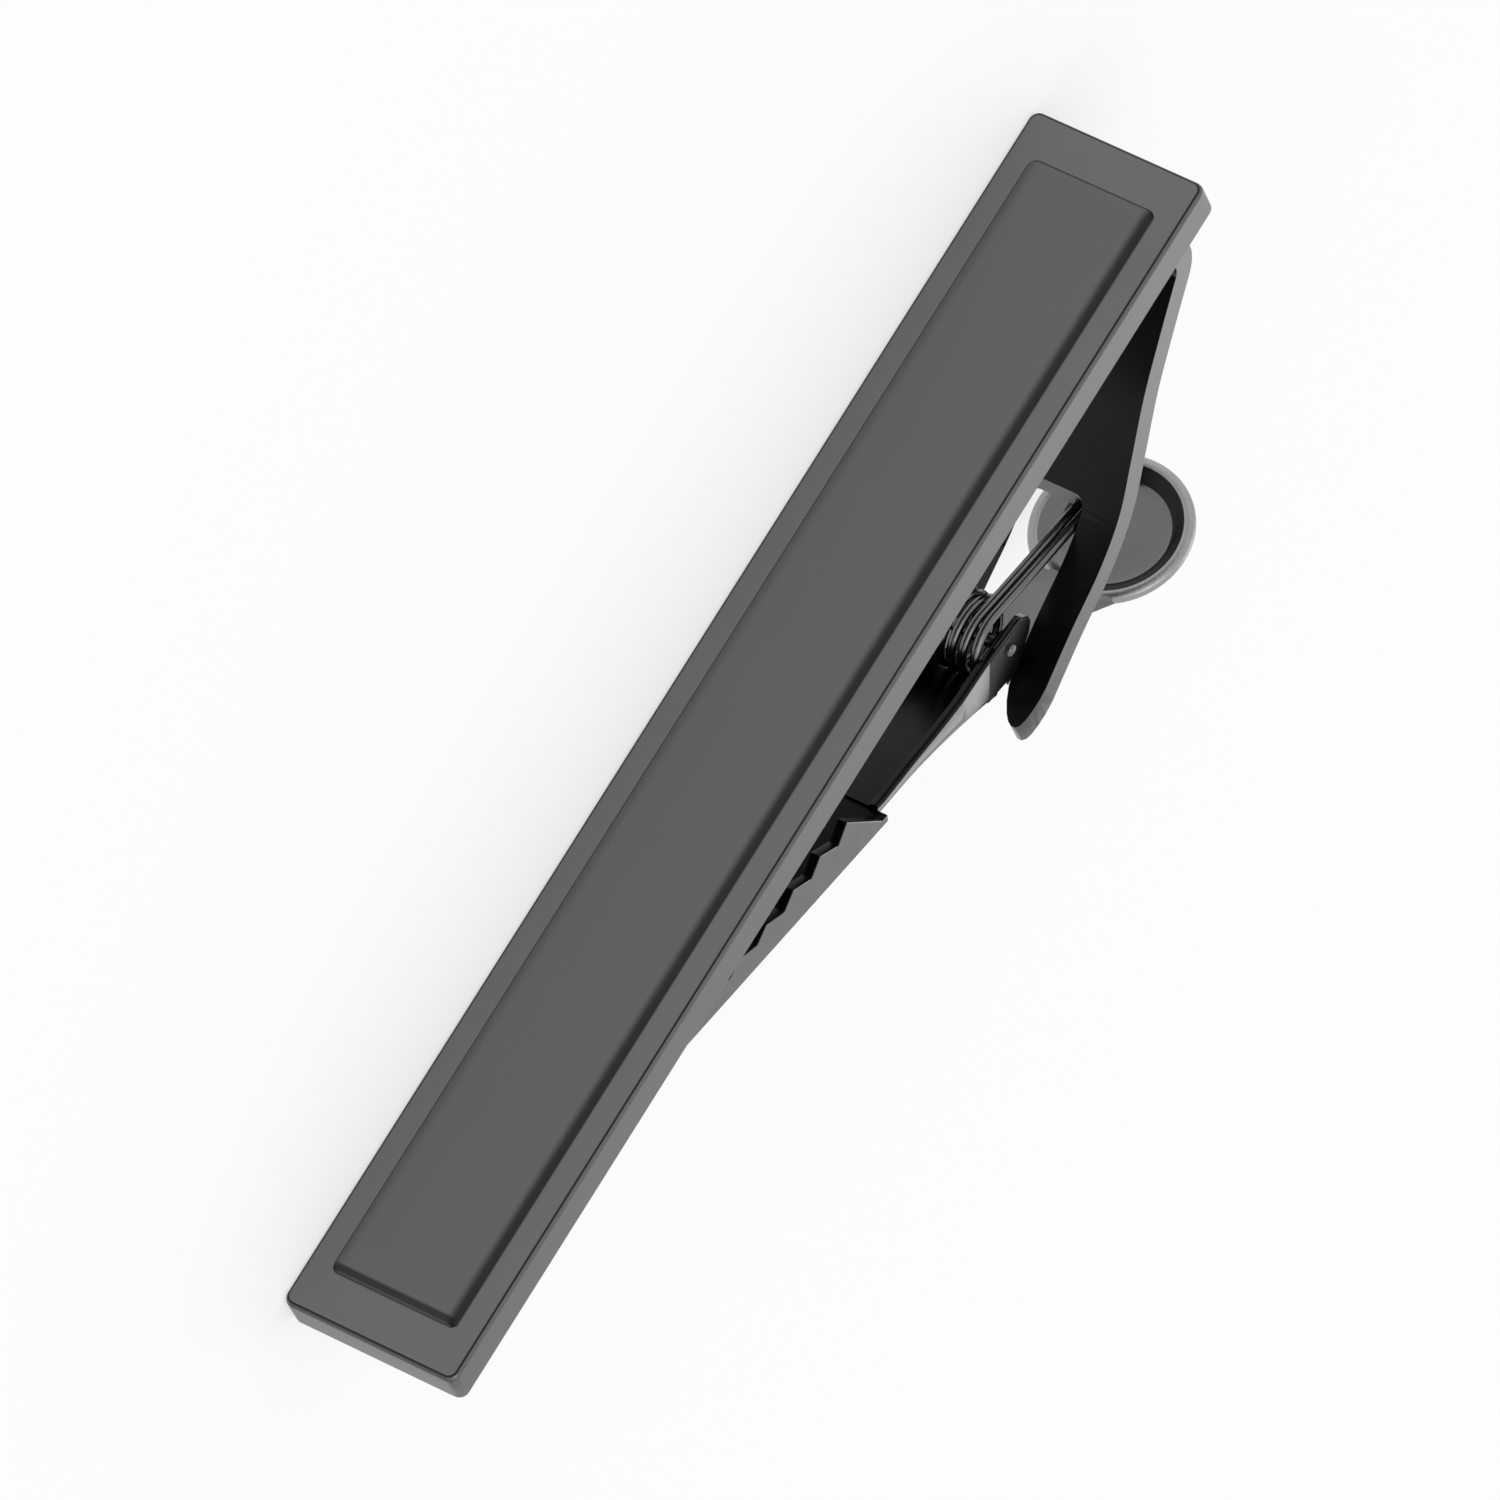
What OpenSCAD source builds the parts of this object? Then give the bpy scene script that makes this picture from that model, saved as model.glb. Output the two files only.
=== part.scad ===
// Tie clip: a flat bar, a bent and forked arm on its back, and a sprung lever with a toothed jaw.
// Millimetres. X runs along the bar (arm's root at -X, jaw's tip at +X), the front faces -Y,
// Z is up as worn. The origin is the middle of the raised panel's front face.

/* [Front bar] */
// Length of the bar
bar_l = 60; // [58:0.5:62]
// Height of the bar as worn
bar_h = 8.55; // [8.4:0.05:9]
// Thickness of the bar at its border
bar_t = 1.9; // [1.8:0.05:2]
// Corner radius of the bar seen from the front
corner_r = 0.6; // [0.45:0.05:0.8]
// Chamfer round the border's front edge
front_chamfer = 0.25; // [0.15:0.01:0.3]
// Height of the raised panel above the border
panel_rise = 0.3; // [0.2:0.02:0.4]
// Border beside the panel's long sides
border_side = 1.15; // [1:0.05:1.3]
// Border beyond the panel's ends
border_end = 2; // [1.6:0.1:2.4]
// Width of the soft shoulder round the panel
shoulder_w = 0.53; // [0.45:0.01:0.6]
// Share of the shoulder's width that its steep foot takes
foot_share = 0.3; // [0.2:0.05:0.4]
// Share of the panel's rise that the steep foot takes
rise_share = 0.65; // [0.5:0.05:0.8]

/* [Arm] */
// Width of the arm strip
arm_w = 6.6; // [6.5:0.05:6.7]
// Thickness of the arm strip
arm_t = 1.1; // [1.05:0.01:1.15]
// Thickness of the solder under the foot
solder_t = 0.12; // [0.1:0.01:0.15]
// Width of solder that shows round the foot
solder_margin = 0.25; // [0.1:0.05:0.35]
// Length of the flat foot
foot_l = 6; // [5:0.25:6.5]
// Gap from the bar's end to the root bend
root_gap = 1.4; // [1.3:0.05:1.5]
// Inner radius of the root bend
bend_r = 0.75; // [0.7:0.01:0.8]
// Climb of the arm in degrees
climb_deg = 42.8; // [42.6:0.1:43]
// Length of the climbing part
climb_l = 12.6; // [12.5:0.05:12.7]
// Inner radius of the knee
knee_r = 2; // [1.95:0.01:2.05]
// Slope of the prongs in degrees
prong_deg = 12; // [11.5:0.25:12.5]
// Length of the prongs beyond the knee
prong_l = 8; // [7.5:0.1:8.2]
// Width of the slot between the prongs
slot_w = 3.3; // [3.25:0.01:3.35]
// Place of the slot's round end along the bar
slot_x = 12.6; // [12.5:0.02:12.7]

/* [Pivot] */
// Place of the pivot along the bar
pivot_x = 17.8; // [17.75:0.01:17.85]
// Height of the pivot behind the border face
pivot_y = 12.5; // [12.46:0.01:12.54]
// Radius of the pin
pin_r = 0.45; // [0.42:0.01:0.5]
// Radial clearance of the pin in its holes
pin_clear = 0.04; // [0.03:0.005:0.05]
// Radius of the lugs that hold the pin
lug_r = 1; // [0.9:0.02:1.05]
// Distance between the two lugs
lug_span = 3; // [2.98:0.01:3.02]
// Thickness of a lug
lug_t = 0.45; // [0.42:0.01:0.47]
// Clearance between lug, lever and head
side_clear = 0.05; // [0.04:0.005:0.06]
// Radius of the pin's heads
head_r = 0.75; // [0.7:0.01:0.85]
// Thickness of the pin's heads
head_t = 0.3; // [0.2:0.02:0.36]

/* [Lever] */
// Thickness of the lever's sheet
lever_t = 0.5; // [0.48:0.01:0.52]
// Thickness of the lever's side walls
wall_t = 0.45; // [0.42:0.01:0.48]
// Radius of the ears round the pin
ear_r = 1.78; // [1.77:0.005:1.8]
// Fall of the beam in degrees
beam_drop = 25.5; // [25.3:0.1:25.7]
// Length of the beam
beam_l = 9.6; // [9.5:0.05:9.7]
// Height of the beam's rear face over the pivot
beam_rear = 1.48; // [1.45:0.01:1.5]
// Distance from the pivot to the beam's web
web_start = 1.85; // [1.8:0.01:2]
// Lean of the neck in degrees
neck_lean = 24.4; // [24.2:0.1:24.6]
// Distance from the pivot to the neck's face
neck_gap = 2.1; // [2.08:0.01:2.12]
// Lower edge of the plate that joins the ears
cross_low = 1.05; // [1.03:0.01:1.1]
// Upper edge of the plate that joins the ears
cross_high = 1.9; // [1.86:0.01:1.92]
// Drop of the ears' root side below the pivot
wall_low = 0.75; // [0.6:0.05:0.8]
// Width of the neck in the slot
neck_w = 2.5; // [2.4:0.02:2.6]
// Width of the neck at the pad
neck_top_w = 3.8; // [3.7:0.02:3.86]
// Height on the neck at which it widens
neck_straight = 3.9; // [3.86:0.02:4.1]
// Height on the neck of the window that the spring's legs pass through
window_high = 3.35; // [3.3:0.05:3.5]
// Clearance between the spring's legs and the window's sides
window_clear = 0.12; // [0.08:0.02:0.16]
// Place of the pad along the bar
pad_x = 9.3; // [9.25:0.01:9.35]
// Height of the pad's rim behind the border face
pad_y = 18.6; // [18.55:0.01:18.65]
// Radius of the thumb pad
pad_r = 3.475; // [3.45:0.005:3.5]
// Tilt of the pad in degrees
pad_deg = 5; // [4.5:0.25:5.5]
// Depth of the dish in the pad
dish_depth = 0.42; // [0.3:0.02:0.46]
// Width of the rim round the dish
rim_w = 0.45; // [0.4:0.01:0.5]
// Rise of the pad's domed back
dome_h = 0.42; // [0.32:0.02:0.5]
// Fillet between neck and pad
pad_fillet = 1; // [0.8:0.05:1.1]

/* [Jaw] */
// Length of the toothed jaw
comb_l = 21.4; // [21.2:0.1:21.6]
// Width of the jaw
comb_w = 6.16; // [6.1:0.02:6.3]
// Thickness of the jaw's web
comb_t = 0.4; // [0.36:0.01:0.43]
// Thickness of the jaw's side walls
comb_wall = 0.5; // [0.45:0.01:0.55]
// Step down from the beam to the jaw
step_drop = 0.22; // [0.18:0.01:0.26]
// Distance from the jaw's start to its first tooth
first_l = 3.55; // [3.5:0.05:3.7]
// Depth of the first tooth below the rear face
first_depth = 2.54; // [2.5:0.02:2.6]
// Depth of the jaw's tip below the rear face
tip_depth = 0.45; // [0.44:0.01:0.5]
// Gap between the closed jaw and the bar
rest_gap = 0.04; // [0.03:0.01:0.06]
// Number of gaps between the teeth
tooth_gaps = 9; // [8:1:10]
// Depth of the first gap
tooth_depth = 0.7; // [0.6:0.02:0.76]
// Share of a pitch from a tip to its valley
valley_share = 0.35; // [0.3:0.01:0.4]
// Share of the depth that is lost along the jaw
shrink_share = 0.8; // [0.76:0.01:0.84]

/* [Spring] */
// Diameter of the wire
wire_d = 0.36; // [0.34:0.005:0.365]
// Middle radius of the coils
coil_r = 1.55; // [1.54:0.005:1.56]
// Rise of a coil in one turn, also the space between the two legs
coil_pitch = 0.82; // [0.815:0.005:0.83]
// Turns in each of the two coils
coil_turns = 1; // [0.9:0.05:1]
// Length of the loop's legs past the slot's end
loop_past = 0.3; // [0.2:0.05:0.4]
// Clearance under the loop on the arm
loop_clear = 0.05; // [0.04:0.01:0.08]
// Bend radius of the wire's ends
end_r = 0.3; // [0.28:0.01:0.32]
// Clearance between the wire's ends and the ears
end_gap = 0.02; // [0.02:0.005:0.04]

/* [Hidden] */

quarter = 90;
full = 360;
round_fn = 64;
// One overrun for every cut and every lap between the pieces of one sheet
over = bar_t / 4;

wall_in = lug_span / 2 + lug_t + side_clear;
lever_half = wall_in + wall_t;
pivot = [pivot_x, pivot_y];
foot_y = bar_t + solder_t;

function turned(p, a) = [p[0] * cos(a) - p[1] * sin(a), p[0] * sin(a) + p[1] * cos(a)];

// Centres of the arm's two bends
root_c = [root_gap + bend_r + arm_t, foot_y + arm_t + bend_r];
knee_c = root_c + turned([climb_l, bend_r - knee_r], climb_deg);
prong_w = (arm_w - slot_w) / 2;
// The pivot seen from the knee, along and across the prongs
pivot_k = turned(pivot - knee_c, -prong_deg);

steel = [0.36, 0.36, 0.37];

// Drawing plane: x from the bar's root end, y behind the border face, z from mid-height
module place() {
    translate([-bar_l / 2, panel_rise, 0]) children();
}

module both() {
    children();
    mirror([0, 0, 1]) children();
}

module about(c, a) {
    translate([c[0], c[1], 0]) rotate([0, 0, a]) children();
}

module plan(l, h, r) {
    square([l - 2 * r, h], center = true);
    square([l, h - 2 * r], center = true);
    for (sx = [-1, 1], sy = [-1, 1])
        translate([sx * (l / 2 - r), sy * (h / 2 - r)]) circle(r = r, $fn = round_fn);
}

// A layer that stands on the plane y and narrows towards the front
module layer(y, h, l, w, r, inset) {
    translate([bar_l / 2, y, 0]) rotate([quarter, 0, 0])
        linear_extrude(height = h, scale = [(l - 2 * inset) / l, (w - 2 * inset) / w]) plan(l, w, r);
}

module front_bar() {
    panel_l = bar_l - 2 * border_end;
    panel_w = bar_h - 2 * border_side;
    foot_w = shoulder_w * foot_share;
    foot_h = panel_rise * rise_share;
    color(steel) place() {
        layer(bar_t, bar_t - front_chamfer, bar_l, bar_h, corner_r, 0);
        layer(front_chamfer, front_chamfer, bar_l, bar_h, corner_r, front_chamfer);
        layer(0, foot_h, panel_l, panel_w, shoulder_w, foot_w);
        layer(-foot_h, panel_rise - foot_h, panel_l - 2 * foot_w, panel_w - 2 * foot_w,
            shoulder_w - foot_w, shoulder_w - foot_w);
    }
}

module solder_joint() {
    color([0.62, 0.62, 0.63]) place()
        translate([root_c[0] - solder_margin, bar_t, -arm_w / 2 - solder_margin])
            cube([foot_l + 2 * solder_margin, solder_t, arm_w + 2 * solder_margin]);
}

// The bent strip seen from its side as one outline: foot, root bend, climb, knee and prongs
module arm_side(tip_l) {
    tip = knee_c + turned([tip_l, knee_r], prong_deg);
    thick = turned([0, arm_t], prong_deg);
    foot_end = root_c[0] + foot_l;
    polygon(concat(
        [[foot_end, foot_y + arm_t]],
        arc(root_c, bend_r, 3 * quarter, quarter + climb_deg, 24),
        arc(knee_c, knee_r, quarter + climb_deg, quarter + prong_deg, 8),
        [tip, tip + thick],
        arc(knee_c, knee_r + arm_t, quarter + prong_deg, quarter + climb_deg, 8),
        arc(root_c, bend_r + arm_t, quarter + climb_deg, 3 * quarter, 24),
        [[foot_end, foot_y]]));
}

module lug() {
    column = knee_r - pivot_k[1] + arm_t / 2;
    about(pivot, prong_deg) translate([0, 0, lug_span / 2]) {
        cylinder(r = lug_r, h = lug_t, $fn = round_fn);
        translate([-lug_r, 0, 0]) cube([2 * lug_r, column, lug_t]);
    }
}

module arm() {
    tip_l = prong_l - prong_w / 2;
    tip_z = (slot_w + prong_w) / 2;
    color(steel) place() difference() {
        union() {
            difference() {
                linear_extrude(height = arm_w, center = true) arm_side(tip_l);
                // The slot starts above the foot, which stays whole
                translate([slot_x, foot_y + arm_t + over, 0]) rotate([-quarter, 0, 0])
                    cylinder(d = slot_w, h = bar_l / 2, $fn = round_fn);
                translate([slot_x, foot_y + arm_t + over, -slot_w / 2])
                    cube([bar_l / 2, bar_l / 2, slot_w]);
            }
            both() about(knee_c, prong_deg) translate([tip_l, knee_r + arm_t, tip_z])
                rotate([quarter, 0, 0]) cylinder(d = prong_w, h = arm_t, $fn = round_fn);
            both() lug();
        }
        about(pivot, 0) cylinder(r = pin_r + pin_clear, h = arm_w + over, center = true, $fn = round_fn);
    }
}

module pivot_pin() {
    neck = lever_half + side_clear;
    dome = head_t / 2;
    color([0.55, 0.55, 0.56]) place() about(pivot, 0) {
        cylinder(r = pin_r, h = 2 * neck, center = true, $fn = round_fn);
        both() translate([0, 0, neck]) {
            cylinder(r = head_r, h = head_t - dome, $fn = round_fn);
            translate([0, 0, head_t - dome])
                cylinder(r1 = head_r, r2 = head_r - dome, h = dome, $fn = round_fn);
        }
    }
}

// Shares that keep edges off the round faces they run into
front_share = 0.97;
bend_share = 1.08;
// The lever's own directions: the beam falls to the jaw, the neck leans to the root
neck_back = neck_gap + lever_t;
beam_face = beam_rear - lever_t;
pad_c = [pad_x, pad_y];
pad_in = turned([1, 0], -pad_deg);
pad_up = turned([0, 1], -pad_deg);
neck_e1 = turned([1, 0], neck_lean);
neck_e2 = turned([0, 1], neck_lean);
// Where the middle of the neck's sheet meets the middle of the pad's sheet
mid_h = lever_t / 2;
meet_s = (-(neck_gap + mid_h) - (pad_c + mid_h * pad_up - pivot) * neck_e1) / (pad_in * neck_e1);
meet_e2 = (pad_c + mid_h * pad_up + meet_s * pad_in - pivot) * neck_e2;

module lever_walls() {
    difference() {
        both() about(pivot, 0) translate([0, 0, wall_in]) linear_extrude(height = wall_t) {
            circle(r = ear_r, $fn = round_fn);
            rotate(-beam_drop)
                polygon([[0, -ear_r * front_share], [beam_l, beam_face], [beam_l, beam_rear], [0, beam_rear]]);
            rotate(neck_lean)
                polygon([[-neck_back, -wall_low], [0, -wall_low], [0, cross_high], [-neck_back, cross_high]]);
        }
        about(pivot, 0) cylinder(r = pin_r + pin_clear, h = arm_w + over, center = true, $fn = round_fn);
    }
}

// The neck's sheet: drawn flat with its height along y, then stood across the bar
module neck_plate() {
    // The window is open below, so that the lever swings past the spring's legs
    window_half = leg_z + wire_r + window_clear;
    about(pivot, neck_lean) translate([-neck_back, 0, 0]) rotate([0, quarter, 0])
        linear_extrude(height = lever_t) polygon([
            [-lever_half, cross_low], [-window_half, cross_low], [-window_half, window_high],
            [window_half, window_high], [window_half, cross_low],
            [lever_half, cross_low], [lever_half, cross_high],
            [neck_w / 2, cross_high], [neck_w / 2, neck_straight], [neck_top_w / 2, meet_e2],
            [-neck_top_w / 2, meet_e2], [-neck_w / 2, neck_straight], [-neck_w / 2, cross_high],
            [-lever_half, cross_high]]);
}

function arc(c, r, from, to, n) = [for (i = [0:n]) c + turned([r, 0], from + (to - from) * i / n)];
function arc_h(r, r0, d) = let (b = (r0 * r0 + d * d) / (2 * d)) d - b + sqrt(b * b - r * r);

// The thumb pad: a shallow dish towards the bar, a dome behind, and a flat bright rim
module thumb_pad() {
    dish_r = pad_r - rim_w;
    steps = 10;
    fillet_z = neck_top_w / 2 + pad_fillet;
    fillet_s = sqrt(pow(pad_r + pad_fillet, 2) - pow(fillet_z, 2));
    fillet_a = atan2(fillet_z, fillet_s);
    inner_r = pad_r - rim_w / 2;
    inner_a = acos(min(1, meet_s / inner_r));
    // The fillet stops a few degrees short of the round pad, so that the two cross
    short_deg = 8;
    fillet_side = concat(arc([0, 0], inner_r, fillet_a, inner_a, 4),
        arc([fillet_s, fillet_z], pad_fillet, full - acos((meet_s - fillet_s) / pad_fillet),
            2 * quarter + fillet_a + short_deg, 6));
    about(pad_c, -pad_deg) rotate([-quarter, 0, 0]) {
        rotate_extrude($fn = 2 * round_fn) polygon(concat(
            [for (i = [0:steps]) [dish_r * i / steps, arc_h(dish_r * i / steps, dish_r, dish_depth)]],
            [[pad_r, 0], [pad_r, lever_t]],
            [for (i = [steps - 1:-1:0])
                [pad_r * i / steps, lever_t + arc_h(pad_r * i / steps, pad_r, dome_h)]]));
        // The fillets between the round pad and the neck
        for (m = [-1, 1]) linear_extrude(height = lever_t)
            polygon([for (p = fillet_side) [p[0], m * p[1]]]);
    }
}

module pad_bend() {
    about(pad_c, -pad_deg) translate([meet_s, mid_h, 0])
        cylinder(d = lever_t * bend_share, h = neck_top_w, center = true, $fn = round_fn);
}

// The jaw's place: it rests on the bar's back whatever the other sizes are
comb_start = pivot + turned([beam_l, beam_rear], -beam_drop) - [0, step_drop];
comb_reach = sqrt(comb_l * comb_l + tip_depth * tip_depth);
comb_drop = asin((comb_start[1] - bar_t - rest_gap) / comb_reach) - atan2(tip_depth, comb_l);
pitch = (comb_l - first_l) / tooth_gaps;
function tip_line(k) = -first_depth + (first_depth - tip_depth) * k / tooth_gaps;
function gap_depth(i) = tooth_depth * (1 - shrink_share * i / (tooth_gaps - 1));
teeth = [for (i = [0:tooth_gaps - 1], k = [0, 1])
    k == 0 ? [first_l + i * pitch, tip_line(i)]
        : [first_l + (i + valley_share) * pitch, tip_line(i + valley_share) + gap_depth(i)]];

module jaw() {
    about(comb_start, -comb_drop) {
        translate([0, -comb_t, -comb_w / 2]) cube([comb_l, comb_t, comb_w]);
        both() translate([0, 0, comb_w / 2 - comb_wall]) linear_extrude(height = comb_wall)
            polygon(concat([[0, 0], [0, -comb_t]], teeth, [[comb_l, -tip_depth], [comb_l, 0]]));
    }
}

module lever() {
    color(steel) place() {
        lever_walls();
        about(pivot, -beam_drop) translate([web_start, beam_face, -lever_half])
            cube([beam_l + over - web_start, lever_t, 2 * lever_half]);
        neck_plate();
        thumb_pad();
        pad_bend();
        jaw();
    }
}

// The spring is one wire: an end on an ear, a coil, a leg through the slot, a loop on the arm,
// and the same back to the other ear. A station holds a place, a direction and a side.
sides = 6;
curl_rings = 8;
wire_r = wire_d / 2;
leg_z = coil_pitch / 2;

// The slot's end on the arm's rear face, where the loop comes to rest
rest_x = slot_x - sqrt(slot_w * slot_w / 4 - leg_z * leg_z);
rear_off = bend_r + arm_t;
rest_y = root_c[1] + (rest_x - root_c[0] + rear_off * sin(climb_deg)) * tan(climb_deg)
    + rear_off * cos(climb_deg);
rest_p = [rest_x, rest_y] - pivot;
leg_side = full + atan2(rest_p[1], rest_p[0]) + acos((coil_r + wire_r + loop_clear) / norm(rest_p));
leg_n = [cos(leg_side), sin(leg_side), 0];
leg_v = [sin(leg_side), -cos(leg_side), 0];
leg_l = rest_p * [leg_v[0], leg_v[1]] + loop_past;
coil_lean = atan2(coil_pitch, 2 * PI * coil_r);
up = [0, 0, 1];

function coil_at(t) = let (a = leg_side + full * t, n = [cos(a), sin(a), 0], g = [-sin(a), cos(a), 0])
    [coil_r * n + (leg_z + coil_pitch * t) * up, cos(coil_lean) * g + sin(coil_lean) * up, n];
coil_end = coil_at(coil_turns);
end_g = [-coil_end[2][1], coil_end[2][0], 0];

// Half of the wire, from the loop's middle to the ear; each k is the number of steps in a part
function half_wire(k_bend, k_leg, k_turn, k_end) = concat(
    [for (i = [0:k_bend]) let (a = quarter * i / k_bend)
        [coil_r * leg_n + (leg_l + leg_z * cos(a)) * leg_v + leg_z * sin(a) * up,
            -sin(a) * leg_v + cos(a) * up, leg_n]],
    [for (i = [1:k_leg]) [coil_r * leg_n + leg_l * (1 - i / k_leg) * leg_v + leg_z * up, -leg_v, leg_n]],
    [for (i = [1:ceil(k_turn * coil_turns)]) coil_at(coil_turns * i / ceil(k_turn * coil_turns))],
    [for (i = [1:k_bend]) let (a = quarter * i / k_bend)
        [coil_end[0] + end_r * sin(a) * end_g + end_r * (1 - cos(a)) * up,
            cos(a) * end_g + sin(a) * up, coil_end[2]]],
    [for (i = [1:k_end]) [coil_end[0] + end_r * end_g
        + (end_r + (wall_in - end_gap - coil_end[0][2] - end_r) * i / k_end) * up, up, coil_end[2]]]);

function flip(s) = [[s[0][0], s[0][1], -s[0][2]], [-s[1][0], -s[1][1], s[1][2]], s[2]];
function whole_wire(h) = concat([for (i = [len(h) - 1:-1:1]) flip(h[i])], h);

module tube(path) {
    n = len(path);
    last = (n - 1) * sides;
    points = [for (s = path, j = [0:sides - 1])
        s[0] + wire_r * (cos(full * j / sides) * s[2] + sin(full * j / sides) * cross(s[1], s[2]))];
    walls = [for (i = [0:n - 2], j = [0:sides - 1], f = [0, 1])
        let (a = i * sides + j, b = i * sides + (j + 1) % sides)
            f == 0 ? [a, b + sides, b] : [a, a + sides, b + sides]];
    ends = [for (j = [1:sides - 2], f = [0, 1])
        f == 0 ? [0, j, j + 1] : [last, last + j + 1, last + j]];
    polyhedron(points = points, faces = concat(walls, ends), convexity = 10);
}

module torsion_spring() {
    color([0.7, 0.7, 0.71]) place() about(pivot, 0)
        tube(whole_wire(half_wire(4, 1, curl_rings, 1)));
}

// Least gap of the wire to itself, measured on points; neighbours along the wire don't count
fine_wire = [for (s = whole_wire(half_wire(8, 40, 48, 4))) s[0]];
function run(p, i = 0, s = 0, out = []) = i >= len(p) ? out
    : run(p, i + 1, s + (i + 1 < len(p) ? norm(p[i + 1] - p[i]) : 0), concat(out, [s]));
fine_run = run(fine_wire);
apart_share = 0.95;
apart = PI * leg_z * apart_share;
self_gap = min([for (i = [0:len(fine_wire) - 2], j = [i + 1:len(fine_wire) - 1])
    if (fine_run[j] - fine_run[i] > apart) norm(fine_wire[j] - fine_wire[i]) - wire_d]);
echo(spring_least_gap = self_gap);

front_bar();
solder_joint();
arm();
pivot_pin();
lever();
torsion_spring();
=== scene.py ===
"""Tie clip: the finished bar, forked arm, sprung lever and coil, built round the CAD frame."""

import math

import bpy
from mathutils import Matrix, Vector


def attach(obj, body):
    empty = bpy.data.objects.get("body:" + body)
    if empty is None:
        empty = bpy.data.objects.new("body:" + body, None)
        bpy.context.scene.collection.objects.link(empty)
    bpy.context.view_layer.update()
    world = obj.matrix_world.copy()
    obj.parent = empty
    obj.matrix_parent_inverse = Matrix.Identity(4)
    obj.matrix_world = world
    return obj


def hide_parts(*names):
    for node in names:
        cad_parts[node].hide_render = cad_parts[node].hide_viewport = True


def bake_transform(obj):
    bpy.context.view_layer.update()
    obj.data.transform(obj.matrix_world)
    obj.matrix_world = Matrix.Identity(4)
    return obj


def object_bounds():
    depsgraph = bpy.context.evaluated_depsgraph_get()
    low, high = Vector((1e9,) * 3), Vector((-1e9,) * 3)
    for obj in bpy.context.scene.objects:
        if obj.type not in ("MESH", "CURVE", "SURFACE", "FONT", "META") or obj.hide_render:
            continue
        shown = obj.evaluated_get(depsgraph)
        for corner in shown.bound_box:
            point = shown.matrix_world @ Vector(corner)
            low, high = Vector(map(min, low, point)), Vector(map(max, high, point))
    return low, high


bl_info = {
    "name": "Tie Clip",
    "version": (1, 0, 0),
    "blender": (4, 5, 0),
    "location": "3D View > Sidebar > Tie Clip",
    "description": "Builds the finished pieces of a sprung tie clip",
    "category": "Object",
}

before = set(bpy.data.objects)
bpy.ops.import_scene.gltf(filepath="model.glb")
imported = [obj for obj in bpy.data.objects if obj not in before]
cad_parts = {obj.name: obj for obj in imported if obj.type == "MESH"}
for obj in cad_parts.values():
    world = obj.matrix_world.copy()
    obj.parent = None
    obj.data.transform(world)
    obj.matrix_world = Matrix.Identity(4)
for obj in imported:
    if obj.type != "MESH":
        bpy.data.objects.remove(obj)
CAD_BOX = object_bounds()

# Places and sizes are in millimetres and angles in degrees; this is a millimetre in metres
MM = 0.001
# Half the bar's length and half its height, as the CAD has them
HALF_BAR = round(CAD_BOX[1][0] / MM, 3)
HALF_HEIGHT = round(CAD_BOX[1][2] / MM, 3)
PANEL_RISE = 0.3
# The hinge pin's middle: along the bar from its root end, and behind the border's face
PIVOT = (17.8, 12.5)
# Points of a skin that are nearer than this, in metres, are one point
MERGE = 2e-8
# Before edges are rounded, points this near are one, and faces this near to flat are one face
NEAR, NEARLY_FLAT = 0.004, 0.2
# Signs of a rectangle's corners, in the order that a ring goes round them
CORNERS = ((1, 1), (-1, 1), (-1, -1), (1, -1))
# Steps round the corner of a sheet's section
SHEET_STEPS = 3
# The normal of a face that looks at the bar leans at least this far towards it
LOOKS_AT_BAR = -0.3


# Places on the clip

def place(along, behind, up):
    """A point in metres from its place along the bar, behind the border face and up from mid-height."""
    return Vector(((along - HALF_BAR) * MM, (behind + PANEL_RISE) * MM, up * MM))


def turned(point, degrees):
    """A point turned about the origin, in the plane that runs along and behind the bar."""
    a = math.radians(degrees)
    return (
        point[0] * math.cos(a) - point[1] * math.sin(a),
        point[0] * math.sin(a) + point[1] * math.cos(a),
    )


def moved(point, origin, degrees):
    """A point turned about the origin and then carried to another."""
    x, y = turned(point, degrees)
    return (origin[0] + x, origin[1] + y)


def arc(centre, radius, start, end, steps):
    """Points round part of a circle, both ends included."""
    return [
        moved((radius, 0), centre, start + (end - start) * i / steps)
        for i in range(steps + 1)
    ]


# Modelling tools

def let_go():
    """Leaves edit mode and deselects everything."""
    if bpy.context.object and bpy.context.object.mode != "OBJECT":
        bpy.ops.object.mode_set(mode="OBJECT")
    bpy.ops.object.select_all(action="DESELECT")


def take(obj):
    """Selects one object alone and makes it the active one."""
    let_go()
    obj.select_set(True)
    bpy.context.view_layer.objects.active = obj
    return obj


def skin(name, rings, closed=True):
    """A skin over rings of points: a grid laid round them, its seam merged and its ends filled."""
    across = len(rings[0]) + (1 if closed else 0)
    let_go()
    bpy.ops.mesh.primitive_grid_add(x_subdivisions=across - 1, y_subdivisions=len(rings) - 1, size=1)
    obj = bpy.context.object
    obj.name = obj.data.name = name
    for j, ring in enumerate(rings):
        for i in range(across):
            obj.data.vertices[j * across + i].co = ring[i % len(ring)]
    bpy.ops.object.mode_set(mode="EDIT")
    bpy.ops.mesh.select_all(action="SELECT")
    bpy.ops.mesh.remove_doubles(threshold=MERGE)
    bpy.ops.mesh.select_all(action="SELECT")
    bpy.ops.mesh.fill_holes(sides=0)
    bpy.ops.mesh.select_all(action="SELECT")
    bpy.ops.mesh.normals_make_consistent(inside=False)
    bpy.ops.object.mode_set(mode="OBJECT")
    return obj


def side_plate(name, outline, low, high):
    """A flat plate with its outline seen from the side, from one height to another."""
    return skin(name, [[place(x, y, z) for x, y in outline] for z in (low, high)])


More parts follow.
